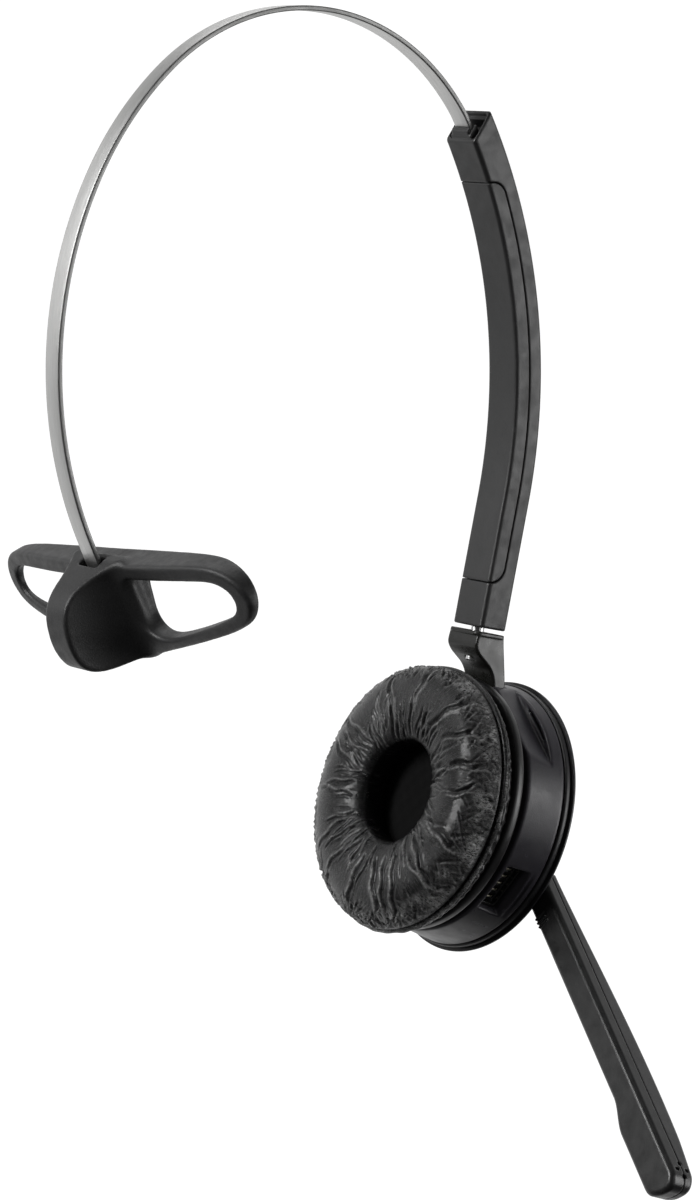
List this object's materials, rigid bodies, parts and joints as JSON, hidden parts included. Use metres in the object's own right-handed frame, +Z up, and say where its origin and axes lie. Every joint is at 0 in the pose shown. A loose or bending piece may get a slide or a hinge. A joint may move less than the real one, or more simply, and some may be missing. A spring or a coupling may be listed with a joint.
{
  "type": "office headset",
  "caption": "Single-ear wireless office headset with spring headband, sliding arm, swivelling ear cup and rotating microphone boom.",
  "frame": {"origin": "centre of the ear cushion's contact face, on the earpiece axis", "axes": "+Z up as worn, +X outward from the head at the ear, -Y the way the wearer faces"},
  "size_m": [0.1003, 0.1158, 0.1994],
  "materials": {
    "spring_steel": "brushed along the strip, bright edges",
    "pad_rubber": "matte moulded rubber",
    "core_plastic": "moulded",
    "arm_plastic": "fine satin texture",
    "cover_plastic": "fine satin texture",
    "yoke_plastic": "smooth, slightly glossy",
    "bright_steel": "turned",
    "bearing_bronze": "sintered",
    "leatherette": "soft, wrinkled, slightly glossy",
    "plate_plastic": "satin",
    "cloth": "fine woven speaker cloth",
    "foam": "soft closed-cell foam",
    "driver_metal": "black plated",
    "mylar": "thin film",
    "housing_plastic": "satin, slightly purple grey",
    "contact_plastic": "smooth",
    "contact_gold": "plated, bright",
    "battery_foil": "foil pouch",
    "board_green": "solder mask",
    "outer_plastic": "satin",
    "light_lens": "translucent diffuser",
    "button_plastic": "satin",
    "rim_plastic": "satin",
    "boom_dark": "smooth",
    "boom_grey": "satin",
    "mic_metal": "can",
    "flex_amber": "flexible circuit"
  },
  "bodies": {
    "earpiece": {"ear_yoke": "yoke_plastic", "swivel_pin": "bright_steel", "swivel_clip": "bright_steel", "ear_cushion": "leatherette", "cushion_plate": "plate_plastic", "speaker_cloth": "cloth", "speaker_gasket": "foam", "speaker_driver": "driver_metal", "speaker_diaphragm": "mylar", "housing": "housing_plastic", "contact_block": "contact_plastic", "contact_pins": "contact_gold", "rear_chassis": "outer_plastic", "housing_screws": "bright_steel", "battery": "battery_foil", "circuit_board": "board_green", "button_dome": "bright_steel", "outer_cover": "outer_plastic", "status_light": "light_lens", "boom_washer": "bright_steel"},
    "slider_arm": {"arm_shell": "arm_plastic", "arm_cover": "cover_plastic", "detent_spring": "bright_steel", "swivel_bush": "bearing_bronze"},
    "headband": {"headband_strip": "spring_steel", "strip_stop": "core_plastic", "temple_pad": "pad_rubber", "temple_core": "core_plastic", "strip_rivet": "bright_steel"},
    "call_button": {"call_button": "button_plastic"},
    "boom": {"boom_ring": "rim_plastic", "boom_inner_shell": "boom_dark", "boom_outer_shell": "boom_grey", "mic_capsule": "mic_metal", "mic_boot": "foam", "mic_lead": "flex_amber"}
  },
  "joints": [
    {"name": "arm_swivel", "type": "hinge", "parent": "earpiece", "child": "slider_arm", "pos_m": [0.01986, 0, 0.02714], "axis": [0.225, 0, 0.9744], "range_deg": [-40, 40]},
    {"name": "band_slide", "type": "hinge", "parent": "slider_arm", "child": "headband", "pos_m": [-0.07, 0, 0.072], "axis": [0, -1, 0], "range_deg": [0, 19]},
    {"name": "boom_turn", "type": "hinge", "parent": "earpiece", "child": "boom", "pos_m": [0.02159, 0, -0.00794], "axis": [0.9385, 0, -0.3453], "range_deg": [-97.6, 202.4]},
    {"name": "button_press", "type": "slide", "parent": "earpiece", "child": "call_button", "axis": [-0.9385, 0, 0.3453], "range_m": [0, 0.0004], "stiffness_N_per_m": 1500}
  ]
}
